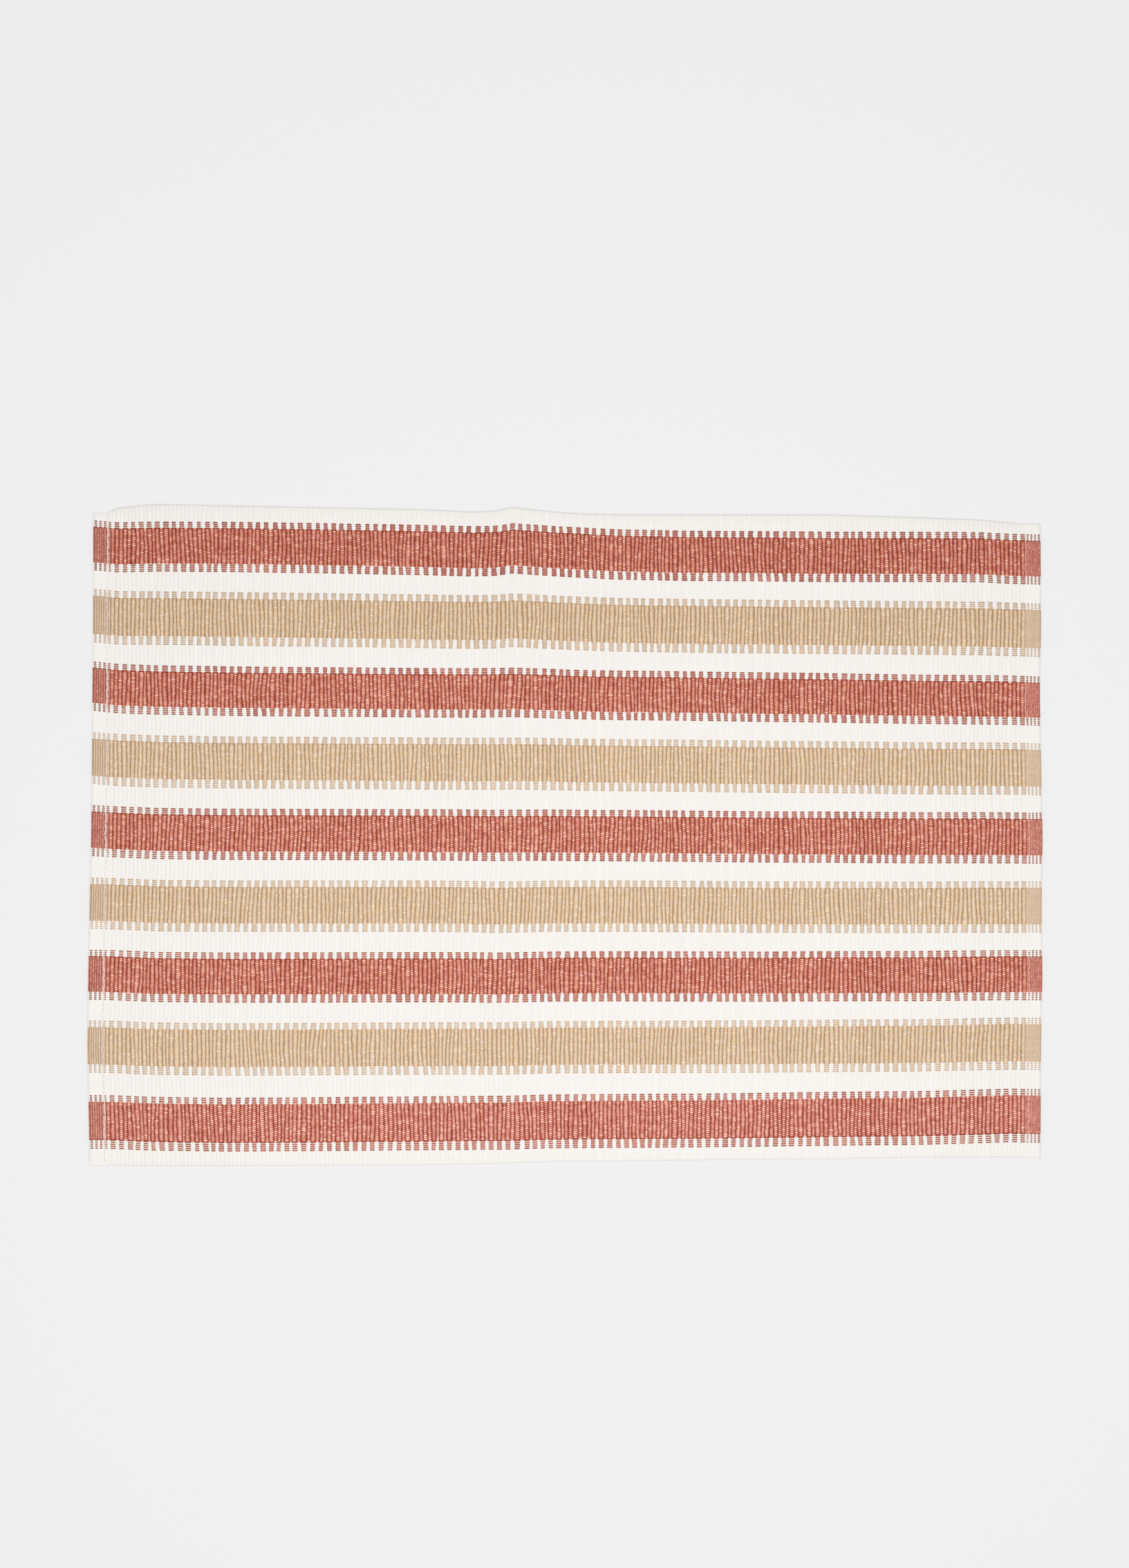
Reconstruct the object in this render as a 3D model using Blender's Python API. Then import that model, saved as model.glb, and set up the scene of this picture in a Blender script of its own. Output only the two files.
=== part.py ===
"""Ribbed cotton placemat, 480 by 330 mm: one sheet of striped cloth with turned hems.

The sheet lies flat on Z = 0, with its stripes along X and the middle of its outline at the
origin. Thick weft cords run along Y and stand up as ribs on both faces. Both short ends are
woven on thin cords and turned under twice, so each hem is three thin layers of the same
cloth, with narrow slits between them.

Run with: blender --background --python part.py
"""

import collections
import math
import random

import bmesh
import bpy
import numpy as np

MM = 0.001

# The finished mat
LENGTH = 480 * MM  # along the stripes, X
WIDTH = 330 * MM  # across the stripes, Y
THICKNESS = 2.6 * MM  # crest to crest, through cloth or hem

# The ribs between the hems
RIBS = 218
GROOVE = 0.5 * MM  # depth of the valley between two ribs, on either face
SLOPE = 0.22  # each side of a rib slopes over this share of its width
WIDTH_STEP = 0.08  # every other rib is this share narrower than the mean, the rest wider
WIDTH_SPREAD = 0.08  # and then each rib differs by up to this share of the mean
SEED = 7

# The hems, measured in from each short end
LEFT_HEM = 9.2 * MM
RIGHT_HEM = 8.0 * MM
LAYER = 0.7 * MM
SLIT = (THICKNESS - 3 * LAYER) / 2
THIN_RIB = 1.1 * MM  # width of a thin cord's rib
THIN_GROOVE = 0.18 * MM
BODY_LIP = 0.4 * MM  # the body's full thickness reaches this far into the hem's width
FOLD_GAP = 0.3 * MM  # from that lip to the hem's inner fold
RAW_EDGE = 2.4 * MM  # the cut edge lies inside the hem, this far in from the end
ARC_STEPS = 4  # segments in each fold's half circle

# The mat was kept folded in half, which left a low ridge
CREASE_X = -30.5 * MM
CREASE_HEIGHT = 0.8 * MM
CREASE_REACH = 14 * MM  # from the ridge's line to where the cloth is flat again

# How far each long edge strays from its straight line, towards +Y
Edge = collections.namedtuple("Edge", "x back front")
LONG_EDGES = (
    Edge(x=-240, back=-1.9, front=-0.6),
    Edge(x=-233, back=-1.9, front=-0.6),
    Edge(x=-228, back=1.2, front=-0.8),
    Edge(x=-208, back=3.1, front=-0.9),
    Edge(x=-170, back=2.3, front=-0.9),
    Edge(x=-115, back=1.2, front=-0.7),
    Edge(x=-75, back=0.5, front=-0.4),
    Edge(x=-48, back=-0.8, front=-0.2),
    Edge(x=-36, back=-0.2, front=0.2),
    Edge(x=-27, back=1.6, front=0.6),
    Edge(x=-13, back=-0.2, front=1.1),
    Edge(x=3, back=-1.6, front=1.4),
    Edge(x=26, back=-2.2, front=1.5),
    Edge(x=141, back=-2.3, front=2.7),
    Edge(x=180, back=-3.7, front=3.3),
    Edge(x=189, back=-3.0, front=3.4),
    Edge(x=223, back=-6.3, front=3.6),
    Edge(x=240, back=-7.4, front=3.3),
)

# How far each short end strays from its straight line, towards +X
End = collections.namedtuple("End", "y left right")
SHORT_ENDS = (
    End(y=-165, left=-1.0, right=-0.6),
    End(y=0, left=0.5, right=0.4),
    End(y=165, left=1.7, right=-0.7),
)

# The stripes, from the front edge to the back
BORDER = 7.3 * MM  # plain white along each long edge
STRIPE = 26.4 * MM
STRIPES = ("red", "sand", "red", "sand", "red", "sand", "red", "sand", "red")
COLOURS = {  # linear
    "white": (0.90, 0.87, 0.84, 1),
    "red": (0.52, 0.125, 0.10, 1),
    "sand": (0.67, 0.48, 0.29, 1),
}


def clear_scene():
    for obj in list(bpy.data.objects):
        bpy.data.objects.remove(obj)


def rib_edges():
    """X of the valleys between the thick ribs, left to right, each cord a little different."""
    draw = random.Random(SEED)
    widths = [
        1 - WIDTH_STEP * (-1) ** k + draw.uniform(-WIDTH_SPREAD, WIDTH_SPREAD)
        for k in range(RIBS)
    ]
    start, end = LEFT_HEM - LENGTH / 2, LENGTH / 2 - RIGHT_HEM
    return start + (end - start) * np.append(0, np.cumsum(widths)) / sum(widths)


def thick_ribs(edges, crest, valley):
    """One face of the cloth between the hems: flat-topped ribs at height crest."""
    points = []
    for left, right in zip(edges, edges[1:]):
        slope = SLOPE * (right - left)
        points += [(left, valley), (left + slope, crest), (right - slope, crest)]
    return points + [(edges[-1], valley)]


def thin_ribs(start, end, crest, valley):
    """One face of a hem: pointed valleys between narrow crests, from start to end."""
    count = max(1, round(abs(end - start) / THIN_RIB))
    rib = (end - start) / count
    points = []
    for k in range(count):
        points.append((start + rib * (k + 0.25), crest))
        points.append((start + rib * (k + 0.75), crest))
        if k < count - 1:
            points.append((start + rib * (k + 1), valley))
    return points


def arc(u, z, radius, start, end):
    """Points on a circle about (u, z), from one angle in degrees to another."""
    angles = np.radians(np.linspace(start, end, ARC_STEPS + 1))
    return [(u + radius * math.cos(a), z + radius * math.sin(a)) for a in angles]


def hem_outline(hem):
    """The hem's section between the body's end points, as (distance in from the end, height).

    It runs out along the top, round the outer fold, back underneath to the inner fold, round
    the cut edge between the other two layers, and home along the slits to the body's lip.
    """
    turn = THICKNESS / 2  # radius of the outer fold, and the place of its centre both ways
    inner_turn = LAYER + SLIT / 2  # radius of the inner fold, and the height of its centre
    lip = hem - BODY_LIP
    fold = lip - FOLD_GAP - inner_turn
    return [
        *thin_ribs(hem, turn, THICKNESS, THICKNESS - THIN_GROOVE),
        *arc(turn, turn, turn, 90, 270),
        *thin_ribs(turn, fold, 0, THIN_GROOVE),
        *arc(fold, inner_turn, inner_turn, -90, 90),
        (RAW_EDGE, 2 * LAYER + SLIT),
        (RAW_EDGE, LAYER + SLIT),
        *arc(fold, inner_turn, SLIT / 2, 90, -90),
        *arc(turn, turn, turn - LAYER, 270, 90),
        (lip, THICKNESS - LAYER),
        (lip, 0),
        (hem - BODY_LIP / 2, 0),
    ]


def add_chain(bm, points):
    """Vertices through the points of the section, joined by edges."""
    verts = [bm.verts.new((x, 0, z)) for x, z in points]
    for pair in zip(verts, verts[1:]):
        bm.edges.new(pair)
    return verts


def add_hem(bm, hem, side, top_vert, bottom_vert):
    """The hem's section as one face between the body's end vertices, on side -1 or 1."""
    verts = [bm.verts.new((side * (LENGTH / 2 - u), 0, z)) for u, z in hem_outline(hem)]
    face = bm.faces.new([top_vert, *verts, bottom_vert])
    face.normal_update()
    bmesh.ops.triangulate(bm, faces=[face])


def add_section(bm):
    """The whole section of the mat in the plane Y = 0."""
    edges = rib_edges()
    top = add_chain(bm, thick_ribs(edges, THICKNESS, THICKNESS - GROOVE))
    bottom = add_chain(bm, thick_ribs(edges, 0, GROOVE))
    bmesh.ops.bridge_loops(bm, edges=bm.edges[:])
    add_hem(bm, LEFT_HEM, -1, top[0], bottom[0])
    add_hem(bm, RIGHT_HEM, 1, top[-1], bottom[-1])


def extrude_across(bm):
    """The section drawn out along Y, with a row of vertices half-way."""
    bmesh.ops.translate(bm, verts=bm.verts[:], vec=(0, -WIDTH / 2, 0))
    drawn = bmesh.ops.extrude_face_region(bm, geom=bm.faces[:])["geom"]
    verts = [item for item in drawn if isinstance(item, bmesh.types.BMVert)]
    bmesh.ops.translate(bm, verts=verts, vec=(0, WIDTH, 0))
    everything = bm.verts[:] + bm.edges[:] + bm.faces[:]
    bmesh.ops.bisect_plane(bm, geom=everything, plane_co=(0, 0, 0), plane_no=(0, 1, 0))


def column(table, name):
    return [getattr(row, name) * MM for row in table]


def stray(table, at, name):
    """The table's column, read at a place that its first column gives."""
    return np.interp(at, column(table, table[0]._fields[0]), column(table, name))


def lay_out(x, y, z):
    """Where a point of the straight sheet lies in the real, uneven one."""
    across = y / WIDTH + 0.5
    along = x / LENGTH + 0.5
    back, front = stray(LONG_EDGES, x, "back"), stray(LONG_EDGES, x, "front")
    left, right = stray(SHORT_ENDS, y, "left"), stray(SHORT_ENDS, y, "right")
    off = min(1, abs(x - CREASE_X) / CREASE_REACH)
    ridge = CREASE_HEIGHT * math.cos(math.pi / 2 * off) ** 2
    return (
        x + left * (1 - along) + right * along,
        y + front * (1 - across) + back * across,
        z + ridge,
    )


def centre(bm):
    """Puts the middle of the outline at the origin."""
    places = np.array([vert.co for vert in bm.verts])
    middle = (places.min(0) + places.max(0)) / 2
    bmesh.ops.translate(bm, verts=bm.verts[:], vec=(-middle[0], -middle[1], 0))


def woven_cotton():
    """Striped cotton: the colour follows the stripes across the mat."""
    material = bpy.data.materials.new("striped_cotton")
    material.use_nodes = True
    nodes = material.node_tree.nodes
    links = material.node_tree.links
    shader = nodes["Principled BSDF"]
    shader.inputs["Roughness"].default_value = 0.9
    shader.inputs["Metallic"].default_value = 0
    place = nodes.new("ShaderNodeTexCoord")
    axes = nodes.new("ShaderNodeSeparateXYZ")
    share = nodes.new("ShaderNodeMapRange")
    share.inputs["From Min"].default_value = -WIDTH / 2
    share.inputs["From Max"].default_value = WIDTH / 2
    ramp = nodes.new("ShaderNodeValToRGB")
    fill_ramp(ramp.color_ramp)
    links.new(place.outputs["Object"], axes.inputs["Vector"])
    links.new(axes.outputs["Y"], share.inputs["Value"])
    links.new(share.outputs["Result"], ramp.inputs["Fac"])
    links.new(ramp.outputs["Color"], shader.inputs["Base Color"])
    return material


def fill_ramp(ramp):
    """One stop where each stripe starts and one where the white after it starts."""
    ramp.interpolation = "CONSTANT"
    ramp.elements[0].color = COLOURS["white"]
    ramp.elements.remove(ramp.elements[1])
    pitch = (WIDTH - 2 * BORDER - STRIPE) / (len(STRIPES) - 1)
    for k, name in enumerate(STRIPES):
        start = BORDER + k * pitch
        ramp.elements.new(start / WIDTH).color = COLOURS[name]
        ramp.elements.new((start + STRIPE) / WIDTH).color = COLOURS["white"]


def make_placemat():
    bm = bmesh.new()
    add_section(bm)
    extrude_across(bm)
    for vert in bm.verts:
        vert.co = lay_out(*vert.co)
    centre(bm)
    bmesh.ops.recalc_face_normals(bm, faces=bm.faces[:])
    mesh = bpy.data.meshes.new("placemat")
    bm.to_mesh(mesh)
    bm.free()
    mesh.materials.append(woven_cotton())
    placemat = bpy.data.objects.new("placemat", mesh)
    bpy.context.scene.collection.objects.link(placemat)
    return placemat


clear_scene()
make_placemat()
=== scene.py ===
"""Looks of the ribbed cotton placemat: its woven cloth and the stitching of its hems.

The cloth is one closed sheet with a right and a wrong side, a rib over every thick cord, and
three thin layers in each hem. Its material draws the weave: each rib is a row of floats, the
short stretches where a warp end passes over a cord. A chain stitch runs along each hem, with
its loops on top of the left one and beneath the right one.
"""

import collections
import math
import random

import bmesh
import bpy
import numpy as np
from mathutils import Matrix, Vector, noise


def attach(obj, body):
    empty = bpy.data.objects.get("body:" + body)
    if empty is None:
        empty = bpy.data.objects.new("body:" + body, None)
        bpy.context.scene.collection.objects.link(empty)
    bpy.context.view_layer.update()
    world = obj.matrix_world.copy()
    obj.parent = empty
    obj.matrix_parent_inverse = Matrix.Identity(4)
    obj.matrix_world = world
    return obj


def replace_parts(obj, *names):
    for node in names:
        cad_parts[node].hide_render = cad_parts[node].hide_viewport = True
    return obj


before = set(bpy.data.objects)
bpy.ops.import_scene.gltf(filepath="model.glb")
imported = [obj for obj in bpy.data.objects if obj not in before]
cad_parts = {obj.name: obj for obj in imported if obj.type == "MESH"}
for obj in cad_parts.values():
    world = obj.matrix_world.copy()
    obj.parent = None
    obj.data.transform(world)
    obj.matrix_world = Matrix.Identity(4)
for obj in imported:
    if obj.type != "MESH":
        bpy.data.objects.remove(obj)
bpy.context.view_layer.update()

MM = 0.001

# The sheet's sizes, as in the solid that it stands for
LENGTH = 480 * MM
WIDTH = 330 * MM
THICKNESS = 2.6 * MM
MIDDLE = THICKNESS / 2
LEFT_HEM = 9.2 * MM
RIGHT_HEM = 8.0 * MM
LAYER = 0.7 * MM
SLIT = (THICKNESS - 3 * LAYER) / 2
BODY_LIP = 0.4 * MM
FOLD_GAP = 0.3 * MM
RAW_EDGE = 2.4 * MM
CREASE_X = -30.5 * MM
CREASE_HEIGHT = 0.8 * MM
CREASE_REACH = 14 * MM

# Cords along Y, thick in the body and thin in the hems
RIBS = 218
WIDTH_STEP = 0.08
WIDTH_SPREAD = 0.08
SEED = 7
VALLEY = 0.5 * MM  # how far each side draws in between two thick ribs
VALLEY_SPREAD = 0.12 * MM
CREASE_VALLEY = 0.15 * MM  # more than that on top of the crease
CREST_SPREAD = 0.08 * MM  # a rib's crest is up to this much lower than the highest
HEM_START_VALLEY = 0.35 * MM
Cord = collections.namedtuple("Cord", "width valley")
LEFT_CORD = Cord(1.17 * MM, 0.14 * MM)
RIGHT_CORD = Cord(0.92 * MM, 0.05 * MM)

# Warp ends along X, counted from the front edge. Odd ends show on odd ribs, even on even ones
BORDER = 15  # plain white ends along each long edge
REPEAT = 74  # ends from one stripe's middle to the next one's
STRIPES = 9  # red at both long edges, and sand between two reds
TIPS = 27  # on either side of a stripe's middle, every other end is coloured as far as this
FRONT_SOLID = 18  # and all ends are as far as this, towards the front
BACK_SOLID = 20
MIDDLES = [BORDER + TIPS + k * REPEAT for k in range(STRIPES)]
ENDS = MIDDLES[-1] + TIPS + BORDER

# Where the stripes lie on the mat on average, from the front one to the back one, in mm
Laid = collections.namedtuple("Laid", "middle width")
STRIPES_LAID = (
    Laid(-144.4, 27.4),
    Laid(-107.1, 26.6),
    Laid(-71.5, 25.5),
    Laid(-36.1, 26.1),
    Laid(-0.4, 26.0),
    Laid(35.3, 26.4),
    Laid(70.7, 25.1),
    Laid(106.6, 27.2),
    Laid(142.4, 25.5),
)
FRONT_EDGE = -166.1
BACK_EDGE = 163.9

# How far the warp strays from there along the mat, in mm towards +Y
Stray = collections.namedtuple("Stray", "x front_edge stripe_1 stripe_4 stripe_7 stripe_9 back_edge")
STRAY_PLACES = (0, 1, 4, 7, 9, 10)  # of the columns among front edge, stripes and back edge
WARP_STRAYS = (
    Stray(-240, -0.6, -0.3, 1.7, 4.5, 3.7, -1.9),
    Stray(-233, -0.6, -0.3, 1.6, 3.7, 3.1, -1.8),
    Stray(-227, -0.8, -0.4, 1.4, 3.1, 2.6, 1.3),
    Stray(-207, -0.9, -1.2, 0.5, 2.4, 3.0, 3.1),
    Stray(-170, -0.9, -1.7, 0.2, 1.8, 2.8, 2.3),
    Stray(-121, -0.7, -1.4, 0.2, 1.4, 2.1, 1.3),
    Stray(-75, -0.4, -1.0, 0.2, 1.0, 1.3, 0.5),
    Stray(-48, -0.2, -0.8, 0.0, 0.9, 0.6, -0.8),
    Stray(-36, 0.2, -0.7, -0.3, 1.0, 0.9, -0.2),
    Stray(-28, 0.6, -0.6, -0.2, 1.2, 2.1, 1.5),
    Stray(-6, 1.2, 0.0, 0.2, 0.5, 0.6, -0.9),
    Stray(8, 1.4, 0.1, 0.2, 0.0, -0.1, -1.8),
    Stray(26, 1.5, 0.2, 0.2, -0.3, -1.0, -2.2),
    Stray(64, 1.9, 0.4, 0.0, -0.7, -1.7, -2.2),
    Stray(99, 2.3, 0.8, -0.3, -1.2, -1.9, -2.3),
    Stray(134, 2.6, 1.3, -0.3, -1.6, -2.2, -2.3),
    Stray(178, 3.3, 1.7, -0.4, -2.3, -2.2, -3.6),
    Stray(209, 3.5, 2.5, -0.2, -2.6, -2.4, -4.8),
    Stray(225, 3.6, 3.0, -0.3, -2.7, -3.2, -6.4),
    Stray(240, 3.3, 2.7, -0.2, -3.3, -3.6, -7.4),
)

# How far each short end strays, in mm towards +X
End = collections.namedtuple("End", "y left right")
SHORT_ENDS = (
    End(-165, 0.1, -0.1),
    End(-144, -0.3, 0.0),
    End(-107, -1.0, 0.2),
    End(-71, -0.6, 0.9),
    End(-36, 0.1, 0.5),
    End(0, 0.9, 1.0),
    End(35, 1.2, 0.3),
    End(71, 1.5, -0.4),
    End(107, 1.8, 0.3),
    End(165, 2.0, -0.2),
)

# Uneven weaving: the cords wander in X by up to about half of reach, over such stretches
Wander = collections.namedtuple("Wander", "reach along_x along_y")
WANDERS = (
    Wander(reach=0.6 * MM, along_x=3.5 * MM, along_y=13 * MM),
    Wander(reach=0.9 * MM, along_x=12 * MM, along_y=22 * MM),
    Wander(reach=0.9 * MM, along_x=40 * MM, along_y=60 * MM),
)
STEADY = 15 * MM  # the wandering fades out over this distance from each hem
APART = 10.3  # between the layers of noise that two wanders read

# The mesh: where its columns and rows of points lie
RIB_POINTS = ((0, 1), (0.14, 0.35), (0.5, 0), (0.86, 0.35))  # (across the rib, share of valley)
HEM_POINTS = 2  # to a thin rib, on the hem's level stretches
BEND_POINTS = 4  # to a thin rib's width, round its folds
ROWS_A_STRIPE = 5
Selvedge = collections.namedtuple("Selvedge", "inset thickness scallop")
SELVEDGES = (  # the first rows in from each long edge: ends, share of thickness, share of scallop
    Selvedge(0, 0.3, 1),
    Selvedge(0.6, 0.8, 0.7),
    Selvedge(2.0, 1, 0.2),
)
SCALLOP = 0.3 * MM  # how far the edge draws in between two cords
WRONG_SIDE = 1001  # added to a rib's number there: odd, as that side shows the other ends
BEYOND = 0.3  # ends or ribs past the sheet's rim, for the narrow faces there

# The chain stitch along each hem, whose line lies this far in from the mat's end
Seam = collections.namedtuple("Seam", "side front back loops")
SEAMS = (  # with the face that shows the loops: 1 is the top
    Seam(side=-1, front=8.1 * MM, back=7.6 * MM, loops=1),
    Seam(side=1, front=6.3 * MM, back=7.9 * MM, loops=-1),
)
STITCH = 3 * MM
THREAD = 0.48 * MM
ARCH = 0.5 * MM  # how far a strand bows out from the line between its two holes
LOOP_LEAN = math.radians(38)  # of the two strands of a loop, to either side
BOW_HEIGHTS = {1: THICKNESS, -1: 0.23 * MM}  # of a strand's middle line, at its bow, on each face
SUNK = 0.09 * MM  # a strand that makes no loop lies this much deeper
ZIGZAG = 0.2 * MM  # the holes lie this far to either side of the line
SEAM_WANDER = 0.5 * MM  # how far the line itself strays, over stretches of so much
SEAM_WANDER_LENGTH = 9 * MM
SEAM_ENDS = 3  # warp ends between a seam's last holes and the long edges
THREAD_SIDES = 6
BOW_STEPS = 6
PULLED_IN = 0.14 * MM  # how far the thread pulls the outer layers of the hem together
PULL_REACH = 0.7 * MM

# Places on the map that colours are baked to: right side, wrong side turned beside it
MAP_SPLIT = 0.78
MAP_GAP = 0.005
MAP_RIM = 0.002

FLOOR_Z = -0.1 * MM


# Laying out the sheet

Column = collections.namedtuple("Column", "rib x z turn half valley depth")


def rib_edges():
    """X of the valleys between the thick ribs, as in the solid."""
    draw = random.Random(SEED)
    widths = [
        1 - WIDTH_STEP * (-1) ** k + draw.uniform(-WIDTH_SPREAD, WIDTH_SPREAD)
        for k in range(RIBS)
    ]
    start, end = LEFT_HEM - LENGTH / 2, LENGTH / 2 - RIGHT_HEM
    return start + (end - start) * np.append(0, np.cumsum(widths)) / sum(widths)


def body_columns():
    """The columns over the thick cords, four to a rib."""
    draw = random.Random(SEED + 1)
    edges = rib_edges()
    columns = []
    for k in range(RIBS):
        crest = MIDDLE - draw.uniform(0, CREST_SPREAD)
        depth = VALLEY + draw.uniform(-VALLEY_SPREAD, VALLEY_SPREAD)
        for across, valley in RIB_POINTS:
            x = edges[k] + across * (edges[k + 1] - edges[k])
            near = max(0, 1 - abs(x - CREASE_X) / CREASE_REACH)
            deep = depth + CREASE_VALLEY * near
            columns.append(Column(k + across, x, MIDDLE, 0, crest, valley, deep))
    start = Column(0, edges[0], MIDDLE, 0, MIDDLE, 1, HEM_START_VALLEY)
    end = Column(RIBS, edges[-1], MIDDLE, 0, MIDDLE, 1, HEM_START_VALLEY)
    return [start, *columns[1:], end]


def hem_legs(hem):
    """The mid-line of a hem's cloth from the body to its cut edge, as level and bent legs.

    Each leg is its length, whether it is bent, and a function from the length run along it to
    the distance in from the mat's end, the height, and the angle that the right side has
    turned away from facing up.
    """
    inner = LAYER + SLIT / 2
    fold = hem - BODY_LIP - FOLD_GAP - inner

    def level(start, end, z, turn):
        way = math.copysign(1, end - start)
        return abs(end - start), False, lambda run: (start + way * run, z, turn)

    def bend(middle, z, radius, start):
        def spot(run):
            turn = start + run / radius
            return middle - radius * math.sin(turn), z + radius * math.cos(turn), turn
        return math.pi * radius, True, spot

    return [
        level(hem, MIDDLE, THICKNESS - LAYER / 2, 0),
        bend(MIDDLE, MIDDLE, MIDDLE - LAYER / 2, 0),
        level(MIDDLE, fold, LAYER / 2, math.pi),
        bend(fold, inner, inner - LAYER / 2, math.pi),
        level(fold, RAW_EDGE, MIDDLE, 2 * math.pi),
    ]


def leg_stops(start, length, bent, cord):
    """Lengths along the cloth, from the body's end, at which a leg has its columns."""
    if bent:
        return np.linspace(start, start + length, round(BEND_POINTS * length / cord.width) + 1)
    step = cord.width / HEM_POINTS
    stops = np.arange(math.ceil(start / step), math.ceil((start + length) / step)) * step
    clear = step / 4
    return stops[(stops > start + clear) & (stops < start + length - clear)]


def hem_columns(hem, cord):
    """The columns of a hem from the body to its cut edge, with x as distance in from the end."""
    columns = []
    start = 0
    for length, bent, spot in hem_legs(hem):
        for stop in leg_stops(start, length, bent, cord):
            x, z, turn = spot(stop - start)
            rib = stop / cord.width
            valley = math.cos(math.pi * rib) ** 2
            columns.append(Column(rib, x, z, turn, LAYER / 2, valley, cord.valley))
        start += length
    x, z, turn = spot(length)
    columns.append(Column(start / cord.width, x, z, turn, LAYER / 2, 1, cord.valley))
    return columns


def sheet_columns():
    """All columns, from the cut edge in the left hem to the one in the right hem."""
    left = [
        column._replace(rib=-column.rib, x=column.x - LENGTH / 2, turn=-column.turn)
        for column in reversed(hem_columns(LEFT_HEM, LEFT_CORD))
    ]
    right = [
        column._replace(rib=RIBS + column.rib, x=LENGTH / 2 - column.x)
        for column in hem_columns(RIGHT_HEM, RIGHT_CORD)
    ]
    columns = left + body_columns() + right
    return Column(*np.array(columns).T)


Row = collections.namedtuple("Row", "end thickness scallop")


def sheet_rows():
    """All rows from the front edge to the back, each with its place among the warp ends."""
    front = [Row(edge.inset, edge.thickness, edge.scallop) for edge in SELVEDGES]
    back = [Row(ENDS - row.end, row.thickness, -row.scallop) for row in reversed(front)]
    steps = np.linspace(-TIPS, TIPS, ROWS_A_STRIPE)
    inner = [Row(middle + step, 1, 0) for middle in MIDDLES for step in steps]
    return Row(*np.array(front + inner + back).T)


def column_of(table, name):
    return [getattr(row, name) for row in table]


def stray_at(table, at, name):
    """The table's column, read at a place that its first column gives, in metres."""
    places = np.array(column_of(table, table[0]._fields[0])) * MM
    return np.interp(at, places, np.array(column_of(table, name)) * MM)


def warp_y(x, ends):
    """Y of the given warp ends at each x: one row of the result for each x."""
    strays = np.array([stray_at(WARP_STRAYS, x, name) for name in Stray._fields[1:]])
    spread = [np.interp(range(STRIPES + 2), STRAY_PLACES, at) for at in strays.T]
    nodes = [0]
    laid = [np.full(len(x), FRONT_EDGE * MM)]
    lines = [0]
    for k, (middle, stripe) in enumerate(zip(MIDDLES, STRIPES_LAID)):
        for side in (-1, 1):
            nodes.append(middle + side * TIPS)
            laid.append(np.full(len(x), (stripe.middle + side * stripe.width / 2) * MM))
            lines.append(k + 1)
    nodes.append(ENDS)
    laid.append(np.full(len(x), BACK_EDGE * MM))
    lines.append(STRIPES + 1)
    places = np.array(laid).T + np.array(spread)[:, lines]
    return np.array([np.interp(ends, nodes, place) for place in places])


def wandering(x, y):
    """How far the cords stray in X at each point, fading out towards the hems."""
    total = np.zeros(x.shape)
    for layer, wander in enumerate(WANDERS):
        scaled = zip((x / wander.along_x).flat, (y / wander.along_y).flat)
        values = [noise.noise(Vector((a, b, APART * layer))) for a, b in scaled]
        total += wander.reach * np.reshape(values, x.shape)
    from_left = x + LENGTH / 2 - LEFT_HEM
    from_right = LENGTH / 2 - RIGHT_HEM - x
    return total * np.clip(np.minimum(from_left, from_right) / STEADY, 0, 1)


def end_strays(x, y):
    """How far the uneven short ends shift each point in X."""
    along = x / LENGTH + 0.5
    left, right = stray_at(SHORT_ENDS, y, "left"), stray_at(SHORT_ENDS, y, "right")
    return left * (1 - along) + right * along


def ridge(x):
    """Height of the low ridge where the mat was kept folded."""
    off = np.minimum(1, np.abs(x - CREASE_X) / CREASE_REACH)
    return CREASE_HEIGHT * np.cos(math.pi / 2 * off) ** 2


def seam_line(seam, y):
    """X of the seam's line at each y, before the short ends stray."""
    inset = np.interp(y, (-WIDTH / 2, WIDTH / 2), (seam.front, seam.back))
    return seam.side * (LENGTH / 2 - inset)


def pulled_in(columns, x, y):
    """How far the seams pull each point of a hem's outer layers towards the middle one."""
    outer = (columns.z - MIDDLE) / (MIDDLE - LAYER / 2)
    bells = [np.exp(-(((x - seam_line(seam, y)) / PULL_REACH) ** 2)) for seam in SEAMS]
    return PULLED_IN * outer[:, None] * sum(bells)


def lay_sheet(columns, rows):
    """Places of all points, as an array over column, row, side and axis."""
    half = columns.half - columns.depth * columns.valley
    half = half[:, None] * rows.thickness[None, :]
    x = np.broadcast_to(columns.x[:, None], half.shape)
    y = warp_y(columns.x, rows.end)
    drawn_in = SCALLOP * (columns.depth * columns.valley / VALLEY)[:, None] * rows.scallop
    strays = end_strays(x, y) + wandering(x, y)
    points = np.empty((*half.shape, 2, 3))
    for side, way in enumerate((-1, 1)):
        lean = way * half * np.sin(columns.turn)[:, None]
        rise = way * half * np.cos(columns.turn)[:, None]
        points[:, :, side, 0] = x + lean + strays
        points[:, :, side, 1] = y + drawn_in
        points[:, :, side, 2] = columns.z[:, None] + rise + ridge(x) - pulled_in(columns, x, y)
    return points


# Making meshes


def in_scene(name, data):
    """A new object that holds that mesh, lamp or camera."""
    thing = bpy.data.objects.new(name, data)
    bpy.context.scene.collection.objects.link(thing)
    return thing


def mesh_object(name, bm, material):
    mesh = bpy.data.meshes.new(name)
    bm.to_mesh(mesh)
    bm.free()
    mesh.materials.append(material)
    return in_scene(name, mesh)


def new_piece(name, bm, material):
    """An object of that mesh, shaded smooth, that rides on the mat's one body."""
    piece = mesh_object(name, bm, material)
    piece.data.shade_smooth()
    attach(piece, "root")
    return piece


def point_places(mesh):
    """The place of every vertex, one row each."""
    places = np.empty(3 * len(mesh.vertices), dtype=np.float32)
    mesh.vertices.foreach_get("co", places)
    return places.reshape(-1, 3)


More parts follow.
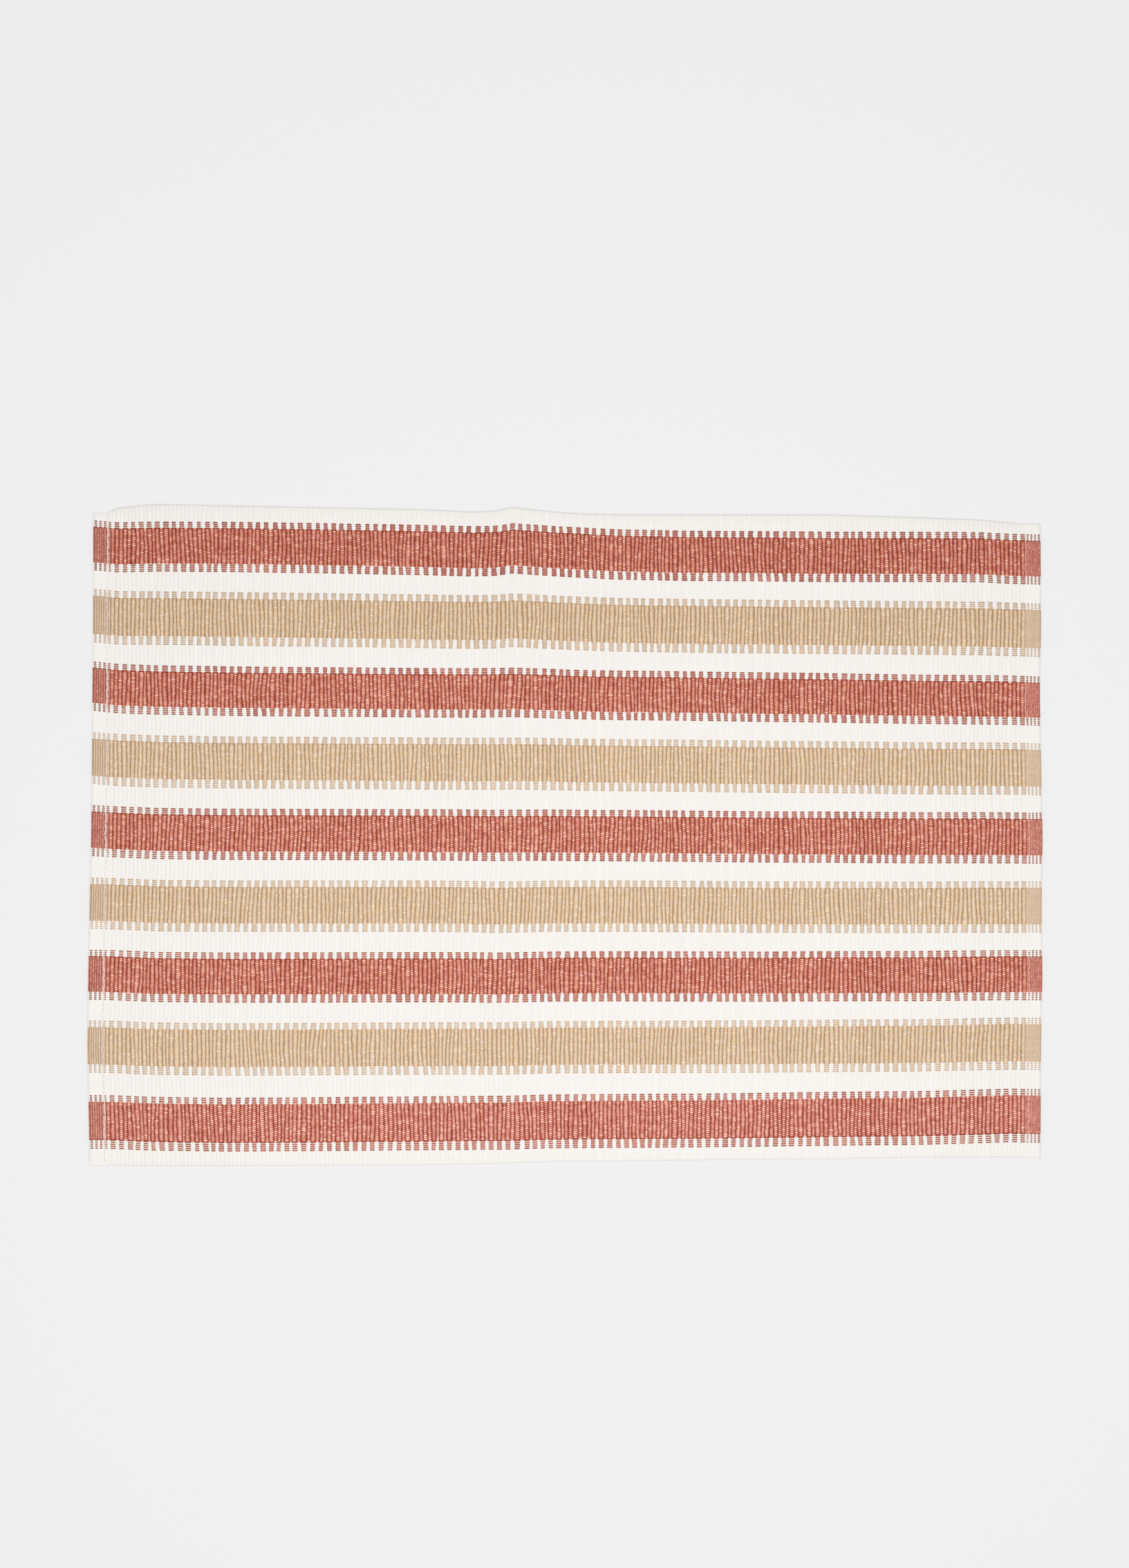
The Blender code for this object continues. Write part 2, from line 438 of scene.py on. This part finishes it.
def corner_points(mesh):
    """The number of the vertex at every face corner."""
    corners = np.empty(len(mesh.loops), dtype=np.int32)
    mesh.loops.foreach_get("vertex_index", corners)
    return corners


def flat_slab(columns, rows):
    """A closed slab of squares whose corners lie at (column number, row number, side)."""
    bm = bmesh.new()
    wide, deep = (columns - 1) / 2, (rows - 1) / 2
    matrix = Matrix.Translation((wide, deep, 0)) @ Matrix.Diagonal((wide, deep, 1, 1))
    bmesh.ops.create_grid(bm, x_segments=columns - 1, y_segments=rows - 1, size=1, matrix=matrix)
    raised = bmesh.ops.extrude_face_region(bm, geom=bm.faces[:])["geom"]
    verts = [item for item in raised if isinstance(item, bmesh.types.BMVert)]
    bmesh.ops.translate(bm, verts=verts, vec=(0, 0, 1))
    bmesh.ops.recalc_face_normals(bm, faces=bm.faces[:])
    return bm


def give_map(mesh, name, places):
    """A UV map of that name, with a place for every face corner."""
    layer = mesh.uv_layers.new(name=name)
    layer.uv.foreach_set("vector", np.ascontiguousarray(places, dtype=np.float32).ravel())


def past_rim(number, last, step):
    """A small shift outwards for the corners in the first and last column or row."""
    return step * ((number == last) * 1.0 - (number == 0) * 1.0)


def map_sheet(mesh, spots, columns, rows):
    """The weave's map in rib and end numbers, and the map for baking colours."""
    i, j, side = spots[corner_points(mesh)].T
    wrong = np.repeat(side.reshape(-1, 4).max(1) == 0, 4)
    rim = (side == 0) & ~wrong  # the far corners of the narrow faces round the sheet
    last_i, last_j = len(columns.rib) - 1, len(rows.end) - 1
    rib = columns.rib[i] + rim * past_rim(i, last_i, BEYOND) + wrong * WRONG_SIDE
    end = rows.end[j] + rim * past_rim(j, last_j, BEYOND)
    give_map(mesh, "weave", np.stack([rib, end], 1))
    steps = np.hypot(np.diff(columns.x), np.diff(columns.z))
    along = np.append(0, np.cumsum(steps))[i] / steps.sum()
    across = rows.end[j] / ENDS
    u = MAP_RIM + (MAP_SPLIT - 2 * MAP_RIM) * along + rim * past_rim(i, last_i, MAP_RIM)
    v = MAP_RIM + (1 - 2 * MAP_RIM) * across + rim * past_rim(j, last_j, MAP_RIM)
    turned_u = MAP_SPLIT + MAP_GAP + (1 - MAP_SPLIT - MAP_GAP) * across
    places = [np.where(wrong, turned_u, u), np.where(wrong, along, v)]
    give_map(mesh, "OFBake", np.stack(places, 1))


def make_cloth():
    """The whole woven sheet, hems turned under."""
    columns, rows = sheet_columns(), sheet_rows()
    bm = flat_slab(len(columns.rib), len(rows.end))
    cloth = new_piece("woven_cloth", bm, cotton_weave())
    mesh = cloth.data
    spots = np.rint(point_places(mesh)).astype(int)
    map_sheet(mesh, spots, columns, rows)
    laid = lay_sheet(columns, rows)[tuple(spots.T)]
    mesh.vertices.foreach_set("co", laid.astype(np.float32).ravel())
    mesh.update()
    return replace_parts(cloth, "placemat")


def seam_holes(seam):
    """Places in the plane where the thread passes through the hem, from front to back."""
    rough_x = seam.side * (LENGTH / 2 - seam.front)
    start, end = warp_y(np.array([rough_x]), [SEAM_ENDS, ENDS - SEAM_ENDS])[0]
    y = np.linspace(start, end, round((end - start) / STITCH) + 1)
    line = seam_line(seam, y)
    zigzag = ZIGZAG * (-1) ** np.arange(len(y))
    drift = [noise.noise(Vector((at / SEAM_WANDER_LENGTH, seam.side, 0.5))) for at in y]
    x = line + end_strays(line, y) + zigzag + SEAM_WANDER * np.array(drift)
    return [Vector((*place, 0)) for place in zip(x, y)]


def add_strand(bm, start, end, face, lean):
    """A thread from hole to hole, bowed out of the top (1) or the underside (-1).

    The two strands of a loop lean to either side, and a single one doesn't lean.
    """
    along = (end - start).normalized()
    up = Vector((0, 0, 1))
    bow = face * math.cos(lean) * up + math.sin(lean) * along.cross(up)
    span = (end - start).length
    radius = span * span / (8 * ARCH) + ARCH / 2
    swing = math.asin(span / 2 / radius)
    height = BOW_HEIGHTS[face] if lean else BOW_HEIGHTS[face] - face * SUNK
    sideways = math.sin(lean) * ARCH * along.cross(up)
    top = (start + end) / 2 + sideways + height * up
    hub = top - radius * bow
    axis = along.cross(bow)
    matrix = Matrix.Translation(top) @ along.to_track_quat("Z", "Y").to_matrix().to_4x4()
    circle = bmesh.ops.create_circle(bm, segments=THREAD_SIDES, radius=THREAD / 2, matrix=matrix)
    ring = circle["verts"]
    bmesh.ops.rotate(bm, verts=ring, cent=hub, matrix=Matrix.Rotation(-swing, 3, axis))
    edges = {edge for vert in ring for edge in vert.link_edges}
    bmesh.ops.spin(
        bm, geom=[*ring, *edges], cent=hub, axis=axis, angle=2 * swing, steps=BOW_STEPS
    )


def map_stitches(mesh):
    """For each point of the thread, whether its strand is a single one, and its warp end."""
    x, y, z = point_places(mesh)[corner_points(mesh)].T
    single, end = np.empty(len(x)), np.empty(len(x))
    ends = np.arange(ENDS + 1)
    for seam in SEAMS:
        on = x * seam.side > 0
        laid = warp_y(np.array([seam_line(seam, 0)]), ends)[0]
        single[on] = (z[on] > MIDDLE) != (seam.loops > 0)
        end[on] = np.interp(y[on], laid, ends)
    give_map(mesh, "weave", np.stack([single, end], 1))


def make_stitches():
    """The chain stitches: two strands to a loop on one face of the hem, one on the other."""
    bm = bmesh.new()
    for seam in SEAMS:
        holes = seam_holes(seam)
        for start, end in zip(holes, holes[1:]):
            add_strand(bm, start, end, -seam.loops, 0)
            add_strand(bm, start, end, seam.loops, LOOP_LEAN)
            add_strand(bm, start, end, seam.loops, -LOOP_LEAN)
    bmesh.ops.holes_fill(bm, edges=bm.edges[:], sides=THREAD_SIDES)
    bmesh.ops.recalc_face_normals(bm, faces=bm.faces[:])
    stitches = new_piece("hem_stitches", bm, sewing_thread())
    map_stitches(stitches.data)
    return stitches


# Materials


class Signal:
    """A number, colour or vector that varies over a surface. Operators add Math nodes."""

    def __init__(self, finish, socket):
        self.finish = finish
        self.socket = socket

    def math(self, operation, *others):
        return self.finish.math(operation, self, *others)

    def __add__(self, other):
        return self.math("ADD", other)

    def __sub__(self, other):
        return self.math("SUBTRACT", other)

    def __rsub__(self, other):
        return self.finish.math("SUBTRACT", other, self)

    def __mul__(self, other):
        return self.math("MULTIPLY", other)

    def __truediv__(self, other):
        return self.math("DIVIDE", other)

    def __pow__(self, other):
        return self.math("POWER", other)

    def __gt__(self, other):
        return self.math("GREATER_THAN", other)

    def __lt__(self, other):
        return self.math("LESS_THAN", other)

    def __abs__(self):
        return self.math("ABSOLUTE")

    __radd__ = __add__
    __rmul__ = __mul__

    def floor(self):
        return self.math("FLOOR")

    def fraction(self):
        return self.math("FRACT")

    def is_odd(self):
        """1 for an odd whole number and 0 for an even one."""
        return (self / 2).fraction() * 2

    def wave(self):
        """Cosine of so many half turns."""
        return (self * math.pi).math("COSINE")

    def larger(self, other):
        return self.math("MAXIMUM", other)

    def rising(self, start, end):
        """0 before start, 1 after end, and smooth between them."""
        inputs = {"Value": self, "From Min": start, "From Max": end}
        settings = {"interpolation_type": "SMOOTHSTEP"}
        return self.finish.node("ShaderNodeMapRange", settings, inputs, "Result")


class Finish:
    """One material: a Principled shader and the nodes that feed it."""

    def __init__(self, name):
        self.material = bpy.data.materials.new(name)
        self.material.use_nodes = True
        self.tree = self.material.node_tree
        self.shader = self.tree.nodes["Principled BSDF"]

    def node(self, kind, settings, inputs, output=0):
        """A node of that type, with its settings, then its sockets' values or links."""
        node = self.tree.nodes.new(kind)
        for name, value in settings.items():
            if name == "stops":
                fill_ramp(node.color_ramp, value)
            else:
                setattr(node, name, value)
        self.feed(node, inputs)
        return Signal(self, node.outputs[output])

    def feed(self, node, inputs):
        for name, value in inputs.items():
            if isinstance(value, Signal):
                self.tree.links.new(value.socket, node.inputs[name])
            else:
                node.inputs[name].default_value = value

    def math(self, operation, *values):
        return self.node("ShaderNodeMath", {"operation": operation}, dict(enumerate(values)))

    def vector(self, x, y):
        return self.node("ShaderNodeCombineXYZ", {}, {"X": x, "Y": y})

    def part(self, vector, axis):
        return self.node("ShaderNodeSeparateXYZ", {}, {"Vector": vector}, axis)

    def chance(self, x, y):
        """A random number from 0 to 1 for each pair of whole numbers."""
        settings = {"noise_dimensions": "2D"}
        inputs = {"Vector": self.vector(x, y)}
        return self.node("ShaderNodeTexWhiteNoise", settings, inputs, "Value")

    def drift(self, x, y, pace):
        """A number that drifts about 0, between about -1 and 1, at that pace in x and y."""
        place = self.vector(x * pace.x, y * pace.y + pace.start)
        inputs = {"Vector": place, "Scale": 1, "Detail": 0}
        raw = self.node("ShaderNodeTexNoise", {"noise_dimensions": "2D"}, inputs, "Fac")
        return (raw - 0.5) * 3

    def ramp(self, value, stops):
        return self.node("ShaderNodeValToRGB", {"stops": stops}, {"Fac": value}, "Color")

    def blend(self, factor, first, second, blend_type="MIX"):
        """The first colour, blended with the second by the factor."""
        settings = {"data_type": "RGBA", "blend_type": blend_type}
        return self.node("ShaderNodeMix", settings, {0: factor, 6: first, 7: second}, 2)

    def bump(self, height, distance):
        inputs = {"Height": height, "Distance": distance}
        return self.node("ShaderNodeBump", {}, inputs, "Normal")


def fill_ramp(ramp, stops):
    ramp.elements.remove(ramp.elements[1])
    first = ramp.elements[0]
    first.position, first.color = stops[0][0], (*stops[0][1], 1)
    for place, colour in stops[1:]:
        ramp.elements.new(place).color = (*colour, 1)


# Each yarn's colours, from the depth of a valley to the top of a pale float (linear): the dark ends
# paint shade into the valleys, the pale ends paint highlights on the floats
RED_YARN = (
    (0.0, (0.19, 0.026, 0.011)),
    (0.2, (0.34, 0.062, 0.034)),
    (0.4, (0.49, 0.125, 0.080)),
    (0.6, (0.66, 0.235, 0.172)),
    (0.8, (0.84, 0.365, 0.280)),
    (1.0, (0.97, 0.640, 0.490)),
)
SAND_YARN = (
    (0.0, (0.30, 0.170, 0.085)),
    (0.2, (0.46, 0.300, 0.175)),
    (0.4, (0.60, 0.420, 0.265)),
    (0.6, (0.74, 0.545, 0.365)),
    (0.8, (0.84, 0.640, 0.455)),
    (1.0, (0.95, 0.800, 0.640)),
)
# White goes the other way: paler in the valleys than on the crests, painted light that cancels the
# shade falling there
WHITE_YARN = ((0.0, (0.95, 0.918, 0.886)), (0.5, (0.87, 0.838, 0.804)))
# White ends and cord that show between the floats of a tooth
CREAM = (0.92, 0.83, 0.72, 1)
PINK_CREAM = (0.94, 0.69, 0.59, 1)  # on a red stripe, away from the hems
# What the coloured yarns are multiplied by from place to place, and by what share of it
TINTS = ((0, (1.0, 1.02, 1.14)), (1, (1.0, 0.98, 0.86)))
TINTING = 0.7

# How far a valley strays from its straight line, in ribs
RAGGED = 0.07  # pushed to and fro by the floats on either side of it
FRAYED = 0.05  # pushed by single floats, at random
WOUND = 0.06  # winding along its length

# How fast each unevenness changes, from rib to rib in X and from end to end in Y
Pace = collections.namedtuple("Pace", "x y start")
FRAYS = Pace(1.3, 0.9, 0)
WINDINGS = Pace(0.8, 0.22, 0)
SLUBS = Pace(0.12, 1.37, 0)  # paler and darker warp ends
PATCHES = Pace(0.9, 0.12, 0)  # stretches of a rib whose floats' painted highlights are stronger or weaker
PINCHES = Pace(2.3, 0.13, 60)  # stretches of a valley with more and with less painted shade
TINTED = Pace(0.77, 0.17, 40)
BARED = Pace(0.1, 0.05, 20)  # more or less white between the floats of a tooth
FIBRES = Pace(5, 1.6, 0)

# Shades, which are places on a yarn's ramp, and steps along it from one shade to another
OnStripe = collections.namedtuple("OnStripe", "red sand")
JOIN_SHADE = OnStripe(0.547, 0.632)  # where two floats of a rib meet on its crest
CROWN_HIGHLIGHT = OnStripe(0.39, 0.195)  # painted highlight, up to the top of a float
PALE_FLOAT_HIGHLIGHT = 0.19  # on top of that for a few paler floats picked at random: paler yarn, laid on as a stronger painted highlight at their tops
# painted shade in the depth of a valley between two ribs
VALLEY_PAINTED_SHADE = 0.51
PINCH_SPREAD = OnStripe(0.14, 0.06)
FLOAT_SPREAD = OnStripe(0.17, 0.07)  # from the darkest of the single floats to the palest
SLUB_SPREAD = OnStripe(0.06, 0.04)
RIB_SPREAD = 0.06
FIBRE_SPREAD = 0.06
TOOTH_DARKER = OnStripe(0.28, 0.16)
TOOTH_DARKER_BY_HEM = 0.08
TIP_DARKER = 0.04
RIM_PAINTED_SHADE = 0.2  # painted shade at the join of a tooth with the solid part, where no white shows
HEM_DARKER = 0.13
CLOSE_DARKER = 0.04  # on top of that in the right hem
# Painted light, paler towards the front edge, and painted shade, darker towards the back one
FRONT_PAINTED_LIGHT = 0.02
BACK_PAINTED_SHADE = 0.05
TOOTH_CALM = 0.5  # the share of the floats' unevenness that a tooth lacks
TOOTH_FLAT = 0.45  # and of the valleys' painted shade

# Shares of white that show through the coloured yarn
GAP_BARE = 0.82  # between the floats of a tooth, at the front edge
GAP_BARE_SPREAD = 0.2
GAP_BARE_BY_HEM = 0.3
GAP_BARE_TO_BACK = 0.35  # so much less at the back edge
HEM_BARE = 0.06
HEM_TOOTH_BARE = 0.2  # on top of that in a sand tooth

FLOAT_HEIGHT = 0.12 * MM
WHITE_HEIGHT = 0.12  # as a share of that, of the white floats

Weave = collections.namedtuple("Weave", "rib across odd along number sand place")
Zone = collections.namedtuple("Zone", "thin close by_hem to_back at_front")
Form = collections.namedtuple("Form", "dome valley join")
Dye = collections.namedtuple("Dye", "coloured tooth tip white_gap")


def read_map(finish):
    """The two numbers that a piece's map of the weave holds."""
    here = finish.node("ShaderNodeUVMap", {"uv_map": "weave"}, {})
    return finish.part(here, "X"), finish.part(here, "Y")


def nearest_stripe(end):
    """Whether the stripe nearest to a warp end is sand, and the end's place from its middle."""
    repeats = (end - MIDDLES[0]) / REPEAT + 0.5
    stripe = repeats.floor()
    return stripe.is_odd(), (repeats - stripe - 0.5) * REPEAT


def read_weave(finish):
    """Which float is at a point, and where on it, from the rib and end numbers there."""
    ribs, ends = read_map(finish)
    frayed = finish.drift(ribs, ends, FRAYS) * FRAYED
    winding = finish.drift(ribs, ends, WINDINGS) * WOUND
    valleys = ribs - ribs.wave() * ends.wave() * RAGGED + frayed + winding
    rib = valleys.floor()
    odd = rib.is_odd()
    pairs = (ends - odd) / 2
    number = pairs.floor() * 2 + odd
    sand, place = nearest_stripe(number + 1)
    return Weave(rib, valleys - rib, odd, pairs.fraction(), number, sand, place)


def read_zone(weave):
    """Which part of the mat a float is in.

    Thin cords fill both hems, and in the right one they lie close. by_hem rises from 0 to 1 on
    the way to either hem and to_back from the front edge to the back one, and at_front is 1
    near the front edge.
    """
    shown = weave.rib - (weave.rib > WRONG_SIDE / 2) * WRONG_SIDE
    close = shown > RIBS - 0.5
    thin = close.larger(shown < 0)
    by_hem = abs(shown / (RIBS / 2) - 1).rising(0.6, 1)
    to_back = weave.number / ENDS
    return Zone(thin, close, by_hem, to_back, 1 - to_back.rising(0.05, 0.2))


def float_form(weave, zone):
    """The rounded float, the valleys beside it that take painted shade, and its joins with the next
    ones in its rib.
    """
    off_middle = abs(weave.along * 2 - 1)  # 0 along the middle of a float, 1 half-way to the next
    off_crest = abs(weave.across * 2 - 1)  # 0 on the crest of a rib, 1 in a valley
    dome = (off_middle.wave() * 0.5 + 0.5) * (1 - off_crest * off_crest)
    valley = (off_crest ** 2.2 + off_crest.rising(0.75, 1) * 0.25) * (1 - zone.close * 0.7)
    return Form(dome, valley, off_middle.rising(0.4, 0.85))


def dyed_ends(weave):
    """Which floats are coloured, which of them make up a tooth, and which joins bare white."""
    solid = (weave.place > -FRONT_SOLID) * (weave.place < BACK_SOLID)
    tips = (weave.place > -TIPS) * (weave.place < TIPS) * weave.odd
    coloured = solid.larger(tips)
    tooth = coloured - solid
    tip = tooth * (abs(weave.place) > TIPS - 1.5)
    hidden = weave.place + (weave.along > 0.5) * 2 - 1  # the end beneath the join with the next
    white_gap = (hidden < -FRONT_SOLID - 0.5).larger(hidden > BACK_SOLID + 0.5)
    return Dye(coloured, tooth, tip, white_gap)


def on_stripe(sand, value):
    """That value for red or for sand."""
    return sand * (value.sand - value.red) + value.red


def level_shade(weave, zone, dye):
    """The yarn's shade where two floats meet, before the cloth's unevenness, with painted light
    towards the front edge and painted shade towards the back one.
    """
    in_tooth = on_stripe(weave.sand, TOOTH_DARKER) + zone.by_hem * TOOTH_DARKER_BY_HEM
    painted_light_falloff = zone.at_front * FRONT_PAINTED_LIGHT - zone.to_back.rising(0.6, 1) * BACK_PAINTED_SHADE
    in_hem = zone.thin * HEM_DARKER + zone.close * CLOSE_DARKER
    return on_stripe(weave.sand, JOIN_SHADE) - dye.tooth * in_tooth + painted_light_falloff - in_hem


def yarn_shade(cloth, weave, zone, form, dye):
    """The yarn's shade: every float has its own, with a painted highlight on its top, and painted
    shade darkens the valleys that part the ribs.
    """
    one_float = cloth.chance(weave.rib, weave.number)
    one_rib = cloth.chance(weave.rib, 0.5)
    slub = cloth.drift(weave.rib, weave.number, SLUBS)
    patch = cloth.drift(weave.rib, weave.number, PATCHES)
    pinch = cloth.drift(weave.rib, weave.number, PINCHES)
    fibres = cloth.drift(weave.rib + weave.across, weave.number + weave.along * 2, FIBRES)

    standing_out = 0.85 + patch * 0.3 + zone.close * 0.05
    pale = (one_float + slub * 0.25).rising(0.72, 1.1) * (1 - zone.thin * 0.8)
    # The painted highlight on the top of every float
    crown_highlight = form.dome * (on_stripe(weave.sand, CROWN_HIGHLIGHT) * standing_out + pale * PALE_FLOAT_HIGHLIGHT)
    single = (one_float - 0.5) * on_stripe(weave.sand, FLOAT_SPREAD)
    drifting = slub * on_stripe(weave.sand, SLUB_SPREAD) + fibres * FIBRE_SPREAD
    spread = single + drifting + (one_rib - 0.5) * RIB_SPREAD
    highlight_and_unevenness = (crown_highlight + spread) * (1 - dye.tooth * TOOTH_CALM)

    # Painted shade in the valleys and at a tooth's joins where no white shows, and darker tips
    depth = VALLEY_PAINTED_SHADE + pinch * on_stripe(weave.sand, PINCH_SPREAD)
    groove_shade = form.valley * depth * (1 - dye.tooth * TOOTH_FLAT)
    rim = form.join * dye.tooth * (1 - dye.white_gap)
    painted_shade_and_tips = groove_shade + rim * RIM_PAINTED_SHADE + dye.tip * TIP_DARKER
    return level_shade(weave, zone, dye) + highlight_and_unevenness - painted_shade_and_tips


def coloured_yarn(cloth, weave, zone, dye, shade):
    """Red or sand yarn of that shade, a little pinker or warmer from place to place."""
    yarn = cloth.blend(weave.sand, cloth.ramp(shade, RED_YARN), cloth.ramp(shade, SAND_YARN))
    drifting = cloth.drift(weave.rib, weave.number, TINTED) * 0.6 + 0.5
    warmth = drifting - zone.thin.larger(dye.tooth) * 0.35 - zone.at_front * 0.35
    return cloth.blend(TINTING, yarn, cloth.ramp(warmth, TINTS), "MULTIPLY")


def bared_share(cloth, weave, zone, form, dye):
    """How much of the white ends and cord shows through the coloured yarn."""
    spread = cloth.drift(weave.rib, weave.number, BARED) * GAP_BARE_SPREAD
    bare = GAP_BARE + spread + zone.by_hem * GAP_BARE_BY_HEM - zone.to_back * GAP_BARE_TO_BACK
    in_gap = form.join * dye.tooth * dye.white_gap * bare
    in_hem = zone.thin * (HEM_BARE + dye.tooth * weave.sand * HEM_TOOTH_BARE)
    return in_gap.larger(in_hem)


def cotton_weave():
    """Striped cotton: red and sand floats with toothed edges, on white."""
    cloth = Finish("cotton_weave")
    weave = read_weave(cloth)
    zone = read_zone(weave)
    form = float_form(weave, zone)
    dye = dyed_ends(weave)
    shade = yarn_shade(cloth, weave, zone, form, dye)
    yarn = coloured_yarn(cloth, weave, zone, dye, shade)
    beneath = cloth.blend(weave.sand.larger(zone.by_hem), PINK_CREAM, CREAM)
    striped = cloth.blend(bared_share(cloth, weave, zone, form, dye), yarn, beneath)
    height = form.dome * (WHITE_HEIGHT + dye.coloured * (1 - WHITE_HEIGHT))
    cloth.feed(cloth.shader, {
        "Base Color": cloth.blend(dye.coloured, cloth.ramp(shade, WHITE_YARN), striped),
        "Roughness": 0.92 - shade * 0.06,
        "Normal": cloth.bump(height, FLOAT_HEIGHT),
        "Specular IOR Level": 0.25,
        "Sheen Weight": 0.08,
    })
    return cloth.material


THREAD_YARN = ((0, (0.84, 0.80, 0.76)), (1, (0.95, 0.92, 0.88)))
RED_TINGE = (0.84, 0.38, 0.29, 1)
SAND_TINGE = (0.76, 0.55, 0.45, 1)
TINGED = OnStripe(0.35, 0.65)  # the share of the stripe's tinge that a loop takes on
SINGLE_TINGED = 0.35  # and how much more a single strand does
THREAD_TWIST = 0.9 * MM  # from one ply's turn to the next, along the thread
PLY_HEIGHT = 0.05 * MM
FUZZ = Pace(900, 300, 0)  # to a metre


def sewing_thread():
    """Undyed twisted cotton: slanting plies, with painted shade where they meet.

    It is thin enough to take on some of the stripe that it lies in, most of all where a
    single strand is drawn down between the cords.
    """
    thread = Finish("sewing_thread")
    single, end = read_map(thread)
    sand, place = nearest_stripe(end)
    in_stripe = 1 - abs(place).rising(FRONT_SOLID, TIPS)
    taken_on = on_stripe(sand, TINGED) + single * SINGLE_TINGED
    tinge = thread.blend(sand, RED_TINGE, SAND_TINGE)
    here = thread.node("ShaderNodeTexCoord", {}, {}, "Object")
    x, y = thread.part(here, "X"), thread.part(here, "Y")
    ply = ((x + y) * (2 / THREAD_TWIST)).wave() * 0.5 + 0.5
    fuzz = thread.drift(x, y, FUZZ)
    # Painted shade where the plies meet
    yarn = thread.ramp(ply * 0.6 + fuzz * 0.2 + 0.3, THREAD_YARN)
    thread.feed(thread.shader, {
        "Base Color": thread.blend(in_stripe * taken_on, yarn, tinge),
        "Roughness": 0.85 - ply * 0.1,
        "Normal": thread.bump(ply, PLY_HEIGHT),
        "Sheen Weight": 0.1,
    })
    return thread.material


# The setting

CAMERA_X = -0.2 * MM
CAMERA_Y = 25.7 * MM
VIEW_HEIGHT = 790.5 * MM  # of the mat's plane, that the photo takes in
LENS = 100 * MM
SENSOR = 36 * MM
SKY = 0.58
LAMP_PLACE = (0.02, -0.11, 1.05)
LAMP_SIZE = 0.6
LAMP_POWER = 6.0
FLOOR_REACH = 20
FLOOR_WHITE = 0.8
FLOOR_LIGHT = 0.885
FLOOR_GLOW = 0.75  # of the floor's brightness, so that it stays even under the near lamp


def place_camera():
    """Straight above, as far off as the lens needs to take in the view."""
    data = bpy.data.cameras.new("camera")
    data.lens = LENS / MM
    data.sensor_width = SENSOR / MM
    camera = in_scene("camera", data)
    camera.location = (CAMERA_X, CAMERA_Y, THICKNESS + VIEW_HEIGHT * LENS / SENSOR)
    bpy.context.scene.camera = camera


def light_scene():
    """Soft light from all round, and a wide lamp above the mat's front."""
    world = bpy.data.worlds.new("studio")
    world.use_nodes = True
    backdrop = world.node_tree.nodes["Background"]
    backdrop.inputs["Color"].default_value = (1, 1, 1, 1)
    backdrop.inputs["Strength"].default_value = SKY
    bpy.context.scene.world = world
    lamp = bpy.data.lights.new("overhead", "AREA")
    lamp.shape = "DISK"
    lamp.size = LAMP_SIZE
    lamp.energy = LAMP_POWER
    overhead = in_scene("overhead", lamp)
    overhead.location = LAMP_PLACE
    overhead.visible_camera = False
    bpy.context.scene.view_settings.view_transform = "Standard"


def pale_floor():
    """Plain matt white that glows a little, like a light table."""
    finish = Finish("pale_floor")
    finish.feed(finish.shader, {
        "Base Color": (*[FLOOR_WHITE * (1 - FLOOR_GLOW)] * 3, 1),
        "Roughness": 1,
        "Specular IOR Level": 0,
        "Emission Color": (1, 1, 1, 1),
        "Emission Strength": FLOOR_LIGHT * FLOOR_GLOW,
    })
    return finish.material


def make_floor():
    bm = bmesh.new()
    bmesh.ops.create_grid(bm, x_segments=1, y_segments=1, size=FLOOR_REACH)
    bmesh.ops.translate(bm, verts=bm.verts[:], vec=(0, 0, FLOOR_Z))
    floor = mesh_object("floor", bm, pale_floor())


place_camera()
light_scene()
make_floor()
cloth = make_cloth()
stitches = make_stitches()
